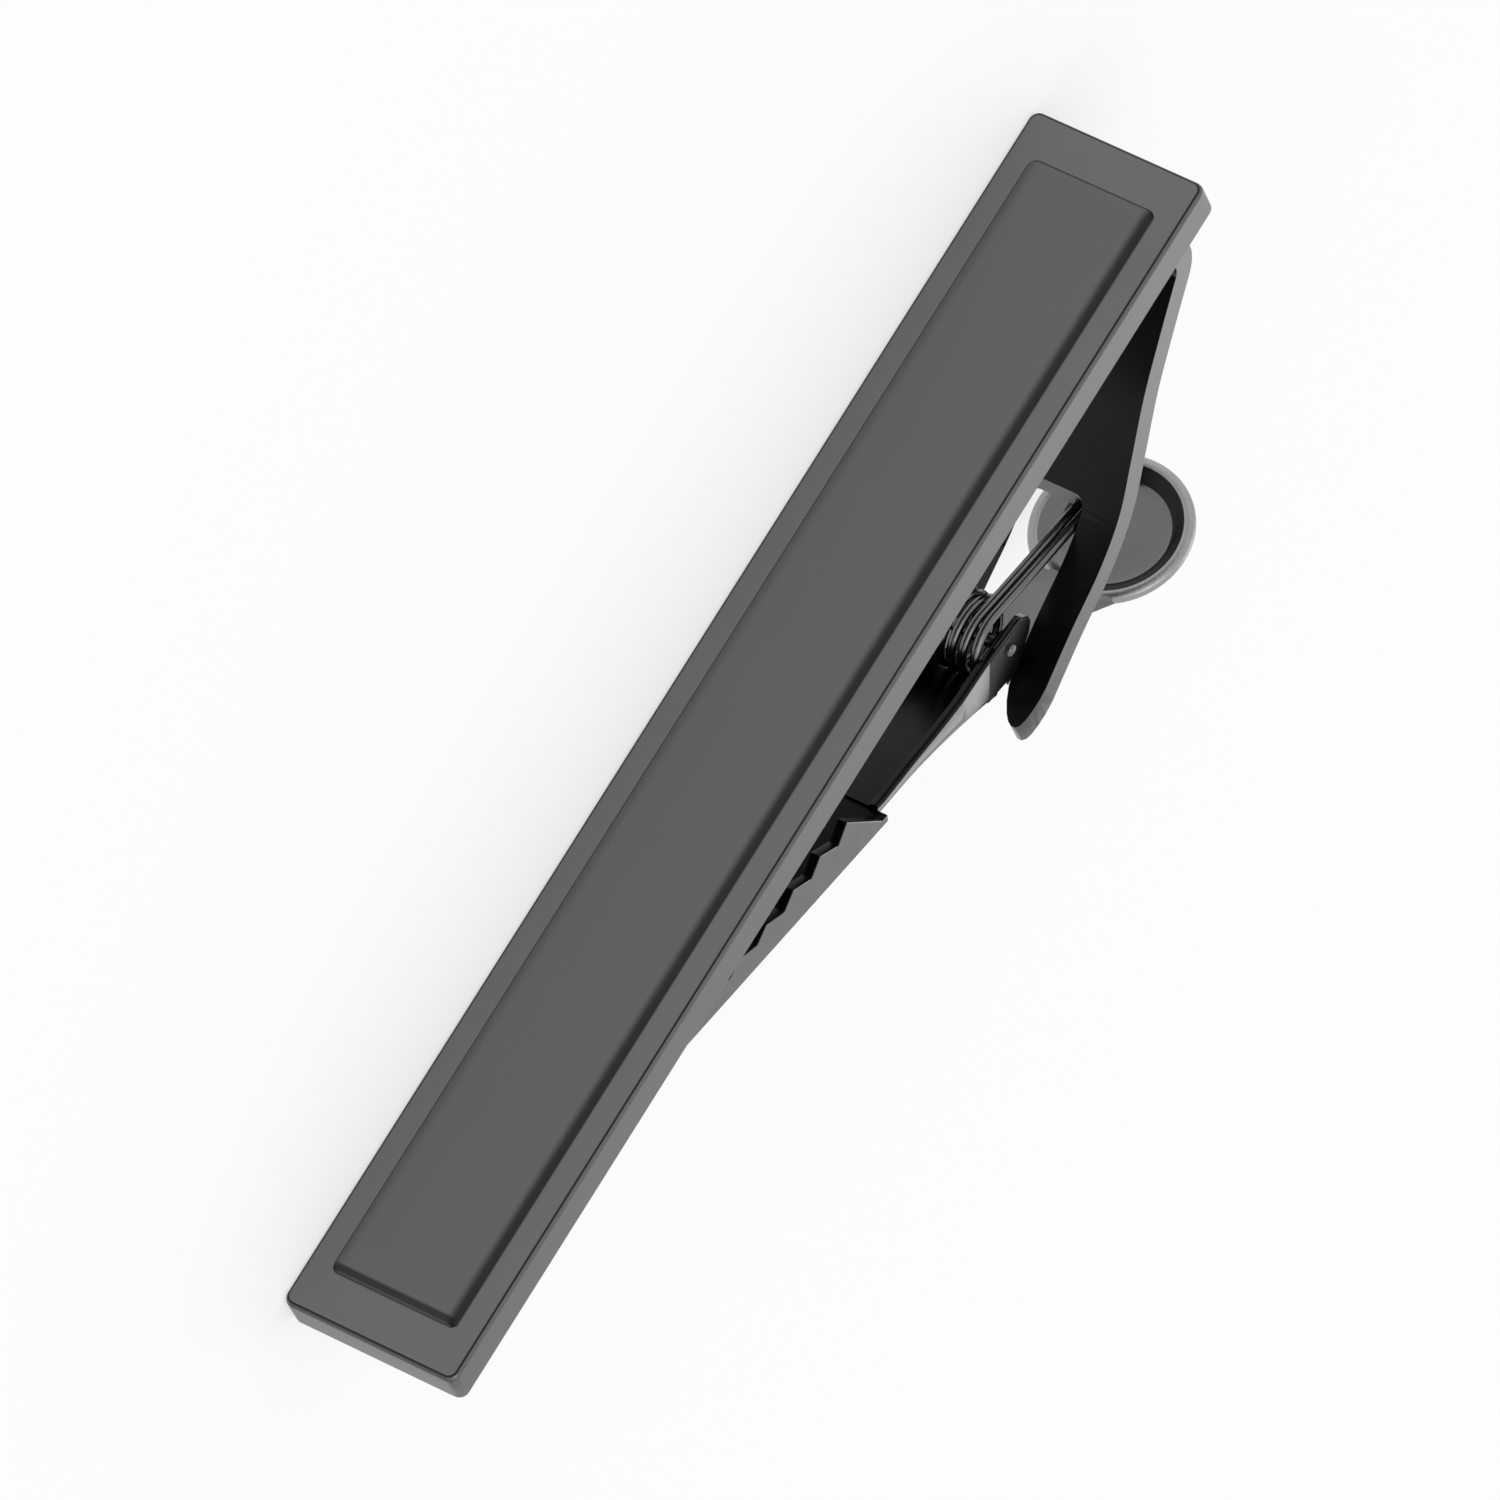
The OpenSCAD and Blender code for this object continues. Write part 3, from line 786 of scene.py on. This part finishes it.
# The radius of its outer folds, and the least that its outer and inner folds shrink to
FOLD, LEAST_FOLD, LEAST_INNER = 0.42, 0.12, 0.06
# An ear: its corner in the channel, its stations on the front edge, the places round its back, its faces
EAR_CORNER, EAR_FRONT = (1.6, 1.9), (1.6, 0.6, -0.84)
EAR_BACK = ((16.2, 12.3), (16.2, 12.75), (16.55, 13.2), (17.3, 13.65), (18.1, 14.15))
EAR_FACES = (1.66, 2.095)
# An ear's side gets painted shade up to this distance behind the panel's face
EAR_SHADE_REACH = 14.8


def lever_plate(context):
    """The bright plate that the lever's pieces share, made when the first of them asks."""
    name = "plated gunmetal lever"
    tint = context.scene.tie_clip_finishes
    return bpy.data.materials.get(name) or plated_finish(name, tint.sheet_colour, tint.plated_roughness)


def lever_painted_shade(context):
    """The painted shade that the lever's pieces share, made in the same way."""
    name = "painted shade lever"
    tint = context.scene.tie_clip_finishes
    return bpy.data.materials.get(name) or painted_shade_finish(name, tint.painted_shade_colour)


def beam_point(along, behind):
    """A place given along the beam from the pivot and behind its line."""
    return moved((along, behind), PIVOT, -BEAM_DROP)


def channel_ring(along, rear, front, half):
    """One section of a pressed channel with rounded folds."""
    fold = min(FOLD, max(LEAST_FOLD, (rear - front) * 0.5))
    inner = max(LEAST_INNER, fold - SHEET * 0.7)
    web = rear - SHEET
    lip = min(front + 0.04, web - 0.02)
    edge = [(half - SHEET / 2, front - 0.02), (half - 0.06, front), (half, front + 0.08)]
    outside = arc((half - fold, rear - fold), fold, 0, 90, 5)
    outside += arc((-half + fold, rear - fold), fold, 90, 180, 5)
    inside = arc((-half + SHEET + inner, web - inner), inner, 180, 90, 3)
    inside += arc((half - SHEET - inner, web - inner), inner, 90, 0, 3)
    outline = edge + outside + [(-z, behind) for z, behind in reversed(edge)] + [(-half + SHEET, lip)]
    outline += [(z, max(lip, behind)) for z, behind in inside] + [(half - SHEET, lip)]
    return [place(*beam_point(along, behind), z) for z, behind in outline]


def in_ear_shade(face):
    """Whether a face is on an ear's flat side and near enough to the bar to get painted shade."""
    return abs(face.normal.z) > 0.7 and face.center.y < EAR_SHADE_REACH * MM


class TIECLIP_OT_beam(bpy.types.Operator):
    """Build the lever's beam, a pressed channel that widens to the jaw, and its ears"""

    bl_idname = "tieclip.beam"
    bl_label = "Beam and ears"

    def execute(self, context):
        steel, dark = lever_plate(context), lever_painted_shade(context)
        rings = []
        for i in range(BEAM_STEPS + 1):
            u = BEAM_START + BEAM_LENGTH * i / BEAM_STEPS
            rings.append(channel_ring(u, table(REAR_FACE, u), table(FRONT_EDGE, u), table(HALF_WIDTH, u)))
        beam = smooth(skin("lever_beam", rings), 50)
        fit(beam, "lever_body", steel, "lever")
        # Painted shade on the beam's faces that look at the bar
        shade_side(beam, dark, faces_bar)

        outline = [beam_point(*EAR_CORNER)] + [beam_point(u, table(FRONT_EDGE, u)) for u in EAR_FRONT]
        ear = side_plate("lever_ear", outline + list(EAR_BACK), *EAR_FACES)
        ease_edges(ear, 0.09, 3, 20)
        smooth(ear)
        for name, piece in (("lever_ear_up", ear), ("lever_ear_down", mirrored(ear))):
            piece.name = piece.data.name = name
            fit(piece, "lever_body", steel)
            # Painted shade on the ear's flat side near the bar
            shade_side(piece, dark, in_ear_shade)
        return {"FINISHED"}


# The neck's middle: from the beam's web, behind the coil and through the slot, into the pad's rim
NECK = ((20.3, 13.32), (18.75, 14.38), (17.0, 15.5), (15.3, 16.62), (13.9, 17.6), (12.95, 18.28),
        (12.4, 18.62), (11.95, 18.82))
# Half the neck's width at stations along the bar
NECK_WIDTH = ((11.95, 2.0), (12.4, 1.75), (12.95, 1.52), (13.9, 1.42), (19.2, 1.42), (19.65, 1.85),
              (20.3, 1.95))
NECK_STEPS, NECK_CORNER = 6, 0.1


class TIECLIP_OT_neck(bpy.types.Operator):
    """Build the neck, which runs from the beam's web behind the coil to the pad"""

    bl_idname = "tieclip.neck"
    bl_label = "Neck"

    def execute(self, context):
        rings = [
            sheet_ring(p, heading, table(NECK_WIDTH, p[0]), SHEET / 2, NECK_CORNER)
            for p, heading in curve_through(NECK, NECK_STEPS)
        ]
        neck = smooth(skin("lever_neck", rings), 50)
        fit(neck, "lever_body", lever_plate(context))
        return {"FINISHED"}


# The pad's rim: its middle, how far it tilts, its radius and the steps round it
PAD, PAD_TILT, PAD_R, PAD_STEPS = (9.02, 18.86), 5.0, 3.58, 96
# How deep the dish is, how thick the pad is at its rim and how far its back is crowned
DISH, PAD_T, CROWN = 0.62, 0.5, 0.45
# The radius at which a pole of the pad is closed
POLE = 0.02
# The dish's wall as (share of its radius, share of its depth)
DISH_WALL = (
    (0.7, 0.93), (0.76, 0.87), (0.81, 0.76), (0.85, 0.62), (0.89, 0.46), (0.93, 0.29), (0.965, 0.14),
)
# The bright rim's depth, then the share of the dish where the painted shade on its wall starts and how low
# that reaches
RIM_DEPTH, SHADE_WALL_SHARE, SHADE_WALL_LOW = 0.3, 0.79, -0.8


def pad_profile(inner):
    """The pad's section as (radius, depth): the dish, the rolled rim and the crowned back."""
    profile = [(POLE, DISH)]
    profile += [(inner * s, DISH * (1 - 0.1 * s * s)) for s in (0.2, 0.4, 0.6)]
    profile += [(inner * s, DISH * h) for s, h in DISH_WALL]
    profile += [(inner, 0.0), (inner + 0.05, -0.03), (inner + 0.16, -0.05), (PAD_R - 0.12, -0.03),
                (PAD_R - 0.03, 0.05), (PAD_R, 0.16), (PAD_R, PAD_T - 0.16),
                (PAD_R - 0.05, PAD_T - 0.04), (PAD_R - 0.16, PAD_T + 0.02)]
    profile += [((PAD_R - 0.2) * s, PAD_T + CROWN * (1 - s * s)) for s in (0.9, 0.75, 0.6, 0.45, 0.3, 0.15)]
    return profile + [(POLE, PAD_T + CROWN)]


class TIECLIP_OT_pad(bpy.types.Operator):
    """Build the dished thumb pad with its rolled, bright rim"""

    bl_idname = "tieclip.pad"
    bl_label = "Thumb pad"

    def execute(self, context):
        tint = context.scene.tie_clip_finishes
        inner = PAD_R - context.scene.tie_clip_sizes.rim / MM
        rings = []
        for r, depth in pad_profile(inner):
            ring = []
            for i in range(PAD_STEPS):
                a = math.radians(360 * i / PAD_STEPS)
                x, y = moved((r * math.cos(a), depth), PAD, -PAD_TILT)
                ring.append(place(x, y, r * math.sin(a)))
            rings.append(ring)
        pad = smooth(skin("thumb_dish", rings), 50, weighted=False)
        fit(pad, "lever_body", lever_plate(context))
        # The rim is painted lighter than the rest of the pad
        pad.data.materials.append(lighter_rim_finish("lighter pad rim", shade_of(tint.sheet_colour, 2.3), 0.34))
        pad.data.materials.append(lever_painted_shade(context))
        for face in pad.data.polygons:
            x, y = face.center.x / MM + HALF_BAR - PAD[0], face.center.y / MM - PANEL_RISE - PAD[1]
            along, depth = turned((x, y), PAD_TILT)
            out = math.hypot(along, face.center.z / MM)
            in_wall_shade = inner * SHADE_WALL_SHARE < out < inner and depth < DISH
            if out > inner - 0.02 and depth < RIM_DEPTH:
                face.material_index = 1
            # Painted shade on the dish's steep inner wall
            elif in_wall_shade and face.center.z > SHADE_WALL_LOW * MM:
                face.material_index = 2
        return {"FINISHED"}


# The toothed jaw: its length, its first tooth, and how many gaps there are between teeth
JAW_L, FIRST_TOOTH, GAPS = 21.4, 3.55, 9
# How deep the first tooth and the far end reach, how far a valley rises, and where in a gap it lies
DEEP, SHALLOW, VALLEY, RAKE = 2.54, 0.45, 0.7, 0.35
# Where the jaw's line starts on the beam, how far it is sunk, and where the web and walls begin
JAW_AT, JAW_SINK, LEAD = (9.6, 1.48), 0.22, 0.75
# The far end's point lies this far behind the border's face, just clear of the bar's back
TIP_BEHIND = THICK + 0.04
# One edge of the web's section as (behind, up), and the two faces of a wall
WEB_EDGE = ((0, 3.0), (-0.02, 3.06), (-0.12, 3.08), (-0.38, 3.07), (-0.4, 3.0))
WALL_FACES = (2.59, 3.075)


def jaw_start():
    """Where the jaw's line starts."""
    x, y = beam_point(*JAW_AT)
    return (x, y - JAW_SINK)


def jaw_drop():
    """The jaw's drop, which brings its far end just clear of the bar's back."""
    reach = math.hypot(JAW_L, SHALLOW)
    return math.degrees(math.asin((jaw_start()[1] - TIP_BEHIND) / reach) - math.atan2(SHALLOW, JAW_L))


def tooth_reach(k):
    """The teeth's depth at a count of gaps from the first, negative because it is towards the bar."""
    return -DEEP + (DEEP - SHALLOW) * k / GAPS


def tooth_line():
    """The outline of a wall: its teeth, each with a raked valley after it, and its far end."""
    pitch = (JAW_L - FIRST_TOOTH) / GAPS
    outline = [(LEAD + 0.02, -0.03), (LEAD + 0.05, -0.12)]
    for i in range(GAPS):
        outline.append((FIRST_TOOTH + i * pitch, tooth_reach(i)))
        valley = VALLEY * (1 - 0.8 * i / (GAPS - 1))
        outline.append((FIRST_TOOTH + (i + RAKE) * pitch, tooth_reach(i + RAKE) + valley))
    return outline + [(JAW_L - 0.02, -SHALLOW), (JAW_L - 0.02, -0.03)]


class TIECLIP_OT_comb(bpy.types.Operator):
    """Build the toothed jaw, a channel whose walls are cut into raked teeth"""

    bl_idname = "tieclip.comb"
    bl_label = "Toothed jaw"

    def execute(self, context):
        start, drop = jaw_start(), jaw_drop()

        def at(along, behind):
            """A place along the jaw's line and behind it."""
            return moved((along, behind), start, -drop)

        section = list(WEB_EDGE) + [(n, -z) for n, z in reversed(WEB_EDGE)]
        stations = (LEAD, LEAD + 0.06, 7.0, 14.0, JAW_L - 0.2, JAW_L)
        web = skin("jaw_web", [[place(*at(u, n), z) for n, z in section] for u in stations])
        smooth(web, 60)
        wall = side_plate("jaw_wall", [at(*p) for p in tooth_line()], *WALL_FACES)
        ease_edges(wall, 0.05, 2)
        smooth(wall)
        comb = join("jaw_comb", [web, wall, mirrored(wall)])
        fit(comb, "lever_body", lever_plate(context))
        # Painted shade on the jaw's faces that look at the bar
        shade_side(comb, lever_painted_shade(context), faces_bar)
        return {"FINISHED"}


# The spring

COIL_R, COIL_STEPS, WIRE_SIDES = 1.6, 28, 12
# How long a leg is, where round the coil it leaves, and the height at which the loop joins the legs
LEG, LEG_TURN, LOOP_UP = 7.0, 251.0, 1.095
# How far past the coil a tail reaches, and the radius of its bend
TAIL, TAIL_BEND = 0.7, 0.3
LOOP_STEPS, LEG_STEPS, TAIL_STEPS = 6, 8, 5
# Each half: name, heights of leg and end, turns, side of its end, and a blend's two heights or None
HALVES = (
    ("spring_low", 0.86, -1.66, 3.35, -1, 0.8, -1.5),
    ("spring_high", 1.33, 1.4, 0.3, 1, None, None),
)


def wire_half(leg_up, end_up, turns, side):
    """Half of the wire: from the loop's middle down a leg and round the coil, then a tail if it has one."""
    lean = math.radians(LEG_TURN)
    normal = (math.cos(lean), math.sin(lean))
    away = (normal[1], -normal[0])
    path = []
    loop = abs(leg_up - LOOP_UP)
    for i in range(LOOP_STEPS + 1):
        a = math.radians(90 * i / LOOP_STEPS)
        path.append((COIL_R, LEG + loop * math.cos(a), LOOP_UP + side * loop * math.sin(a)))
    for i in range(1, LEG_STEPS + 1):
        path.append((COIL_R, LEG * (1 - i / LEG_STEPS), leg_up))
    points = [
        (PIVOT[0] + n * normal[0] + v * away[0], PIVOT[1] + n * normal[1] + v * away[1], z)
        for n, v, z in path
    ]
    tailed = abs(end_up - leg_up) > TAIL
    last = end_up - side * TAIL if tailed else end_up
    steps = int(turns * COIL_STEPS)
    for i in range(1, steps + 1):
        t = i / steps
        x, y = moved((COIL_R, 0), PIVOT, LEG_TURN + 360 * turns * t)
        points.append((x, y, leg_up + (last - leg_up) * t))
    if tailed:
        a = math.radians(LEG_TURN + 360 * turns)
        x, y, z = points[-1]
        for i in range(1, TAIL_STEPS + 1):
            b = math.radians(90 * i / TAIL_STEPS)
            on = TAIL_BEND * math.sin(b)
            rise = side * TAIL_BEND * (1 - math.cos(b))
            points.append((x - on * math.sin(a), y + on * math.cos(a), z + rise))
        points.append((*points[-1][:2], end_up))
    return points


def tube(name, points, radius):
    """A round wire through the points, its radius in metres."""
    places = [place(*p) for p in points]
    rings = []
    normal = None
    for i, here in enumerate(places):
        ahead = (places[min(i + 1, len(places) - 1)] - places[max(i - 1, 0)]).normalized()
        if normal is None:
            normal = ahead.orthogonal().normalized()
        normal = (normal - ahead * normal.dot(ahead)).normalized()
        across = ahead.cross(normal)
        turns = [math.radians(360 * k / WIRE_SIDES) for k in range(WIRE_SIDES)]
        rings.append([here + radius * (math.cos(a) * normal + math.sin(a) * across) for a in turns])
    return smooth(skin(name, rings), 60)


class TIECLIP_OT_spring(bpy.types.Operator):
    """Build the spring, one wire in two halves: the low one is baked where it lies, the high one hangs on the
    root
    """

    bl_idname = "tieclip.spring"
    bl_label = "Spring"

    def execute(self, context):
        radius = context.scene.tie_clip_sizes.wire / 2
        finish = wire_finish("drawn spring wire", context.scene.tie_clip_finishes.spring_colour, 0.22)
        for name, leg_up, end_up, turns, side, still, driven in HALVES:
            piece = tube(name, wire_half(leg_up, end_up, turns, side), radius)
            piece.data.materials.clear()
            piece.data.materials.append(finish)
            x, y = PIVOT
            if still is None:
                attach(piece, "root")
            else:
                tuple(place(x, y, still))
                tuple(place(x, y, driven))
                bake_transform(piece)
            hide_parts("torsion_spring")
        return {"FINISHED"}


# The stage

FLOOR_UP = -4.28
# Each lamp's name, direction from the clip, size in metres and power in watts
LAMPS = (
    ("high lamp", (0.35, -0.25, 0.9), 0.6, 1.2),
    ("far lamp", (-0.5, 0.7, 0.5), 0.5, 0.7),
)
# The camera's directions to its right and to its back, fitted to the photo, and the place it looks at
VIEW_RIGHT, VIEW_BACK, VIEW_AIM = (-0.5136, 0.2369, 0.8248), (0.2677, -0.8691, 0.4163), (0.08, 1.2, -0.016)
# How far off the lamps and the camera stand, and how wide the camera sees at the clip, in metres
LAMPS_OFF, CAMERA_OFF, SEEN_WIDTH = 0.9, 1.0, 0.06142
# The width of the camera's sensor, in millimetres
SENSOR = 36


class TIECLIP_OT_stage(bpy.types.Operator):
    """Set the pale floor, the soft light and the camera"""

    bl_idname = "tieclip.stage"
    bl_label = "Stage"

    def execute(self, context):
        tint = context.scene.tie_clip_finishes
        let_go()
        bpy.ops.mesh.primitive_grid_add(
            x_subdivisions=8, y_subdivisions=8, size=6, location=(0, 0, FLOOR_UP * MM))
        floor = bpy.context.object
        floor.name = "pale_floor"
        bpy.ops.object.transform_apply(location=True)
        floor.data.materials.append(floor_finish(tint.floor_colour, 0.6))

        world = bpy.data.worlds.new("soft studio")
        context.scene.world = world
        world.use_nodes = True
        background = world.node_tree.nodes["Background"]
        background.inputs["Color"].default_value = (1, 1, 1, 1)
        background.inputs["Strength"].default_value = 0.85

        for name, direction, size, power in LAMPS:
            let_go()
            bpy.ops.object.light_add(type="AREA", location=tuple(Vector(direction).normalized() * LAMPS_OFF))
            lamp = bpy.context.object
            lamp.name = name
            lamp.data.size = size
            lamp.data.energy = power
            lamp.rotation_mode = "QUATERNION"
            lamp.rotation_quaternion = (-Vector(direction)).to_track_quat("-Z", "Y")

        right = Vector(VIEW_RIGHT).normalized()
        back = Vector(VIEW_BACK).normalized()
        up = back.cross(right).normalized()
        right = up.cross(back).normalized()
        eye = Vector(VIEW_AIM) * MM + back * CAMERA_OFF
        let_go()
        bpy.ops.object.camera_add()
        camera = bpy.context.object
        camera.matrix_world = Matrix((
            (right.x, up.x, back.x, eye.x),
            (right.y, up.y, back.y, eye.y),
            (right.z, up.z, back.z, eye.z),
            (0, 0, 0, 1),
        ))
        camera.data.sensor_width = SENSOR
        camera.data.lens = SENSOR * CAMERA_OFF / SEEN_WIDTH
        camera.data.clip_start = 0.01
        camera.data.clip_end = 20
        context.scene.camera = camera
        context.scene.view_settings.view_transform = "Standard"
        return {"FINISHED"}


class TIECLIP_PT_panel(bpy.types.Panel):
    """Lists the pieces of the tie clip"""

    bl_idname = "TIECLIP_PT_panel"
    bl_label = "Tie Clip"
    bl_space_type = "VIEW_3D"
    bl_region_type = "UI"
    bl_category = "Tie Clip"

    def draw(self, context):
        column = self.layout.column()
        for group in (context.scene.tie_clip_finishes, context.scene.tie_clip_sizes):
            for key in group.bl_rna.properties.keys():
                if key not in ("rna_type", "name"):
                    column.prop(group, key)
        for operator in PIECES:
            column.operator(operator.bl_idname)


PIECES = (
    TIECLIP_OT_stage, TIECLIP_OT_bar, TIECLIP_OT_arm, TIECLIP_OT_solder, TIECLIP_OT_pin,
    TIECLIP_OT_beam, TIECLIP_OT_neck, TIECLIP_OT_pad, TIECLIP_OT_comb, TIECLIP_OT_spring,
)
CLASSES = (TieClipFinishes, TieClipSizes, *PIECES, TIECLIP_PT_panel)


def register():
    """Registers the classes and hangs the settings on the scene."""
    for each in CLASSES:
        bpy.utils.register_class(each)
    bpy.types.Scene.tie_clip_finishes = bpy.props.PointerProperty(type=TieClipFinishes)
    bpy.types.Scene.tie_clip_sizes = bpy.props.PointerProperty(type=TieClipSizes)


def unregister():
    """Takes the settings and the classes away again."""
    del bpy.types.Scene.tie_clip_finishes
    del bpy.types.Scene.tie_clip_sizes
    for each in reversed(CLASSES):
        bpy.utils.unregister_class(each)


def main():
    """Builds the stage and every piece in order."""
    register()
    for operator in PIECES:
        group, name = operator.bl_idname.split(".")
        getattr(getattr(bpy.ops, group), name)()


if __name__ == "__main__":
    main()
